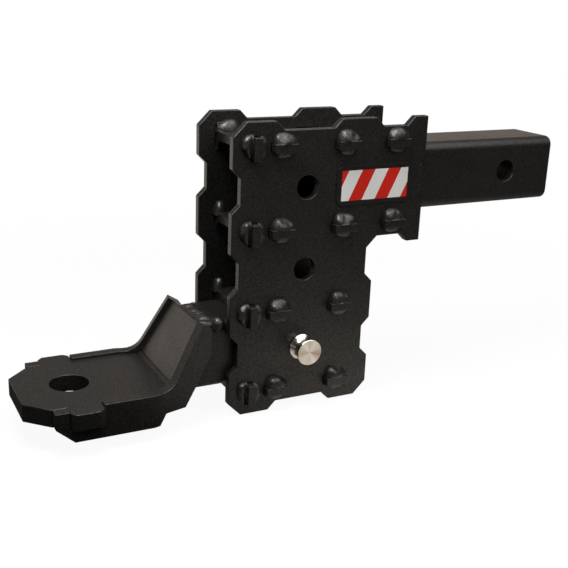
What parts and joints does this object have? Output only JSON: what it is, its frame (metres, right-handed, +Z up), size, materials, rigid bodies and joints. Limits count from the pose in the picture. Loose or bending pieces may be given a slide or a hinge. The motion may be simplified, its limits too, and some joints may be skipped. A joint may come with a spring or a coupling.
{
  "type": "adjustable drop hitch",
  "caption": "Adjustable drop hitch with scalloped side plates, a square receiver shank, a pinned bent ball mount with an open ball hole, and a locking hitch pin.",
  "frame": {"origin": "centre of the shank's hitch-pin hole, where the vehicle's receiver holds the part", "axes": "+X along the shank towards the vehicle, +Z up, +Y towards the vehicle's left side, so the ball mount points to -X"},
  "size_m": [0.4319, 0.1125, 0.2142],
  "materials": {
    "coat": "satin black powder coat with a fine grain",
    "weld": "glossier powder coat over weld beads",
    "badge": "printed film, plain bands",
    "stainless": "turned stainless steel",
    "brass": "turned brass",
    "cap": "matt black rubber"
  },
  "bodies": {
    "drop_frame": {"right_side_plate": "coat", "left_side_plate": "coat", "shelf_1": "coat", "shelf_2": "coat", "shelf_3": "coat", "shelf_4": "coat", "saddle_bar_1": "coat", "saddle_bar_2": "coat", "saddle_bar_3": "coat", "saddle_bar_4": "coat", "shank": "coat", "shank_weld_right": "weld", "shank_weld_left": "weld", "shank_weld_top": "weld", "shank_weld_bottom": "weld", "wing_badge": "badge"},
    "ball_mount": {"ball_plate": "coat", "right_cheek": "coat", "left_cheek": "coat", "mount_stem": "coat", "riser_weld": "weld", "cheek_weld_right": "weld", "cheek_weld_left": "weld"},
    "hitch_pin": {"hitch_pin": "stainless"},
    "lock": {"lock_barrel": "stainless"},
    "lock_plug": {"lock_plug": "brass"},
    "lock_cap": {"lock_cap": "cap"}
  },
  "joints": [
    {"name": "mount_slide", "type": "slide", "parent": "drop_frame", "child": "ball_mount", "axis": [1, 0, 0], "range_m": [-0.0005, 0.0005]},
    {"name": "pin_slide", "type": "slide", "parent": "drop_frame", "child": "hitch_pin", "axis": [0, -1, 0], "range_m": [0, 0.09]},
    {"name": "lock_slide", "type": "slide", "parent": "drop_frame", "child": "lock", "axis": [0, 1, 0], "range_m": [0, 0.03]},
    {"name": "plug_turn", "type": "hinge", "parent": "lock", "child": "lock_plug", "pos_m": [-0.183, 0.05, -0.12], "axis": [0, 1, 0], "range_deg": [0, 90]},
    {"name": "cap_slide", "type": "slide", "parent": "lock", "child": "lock_cap", "axis": [0, 1, 0], "range_m": [0, 0.03]}
  ]
}
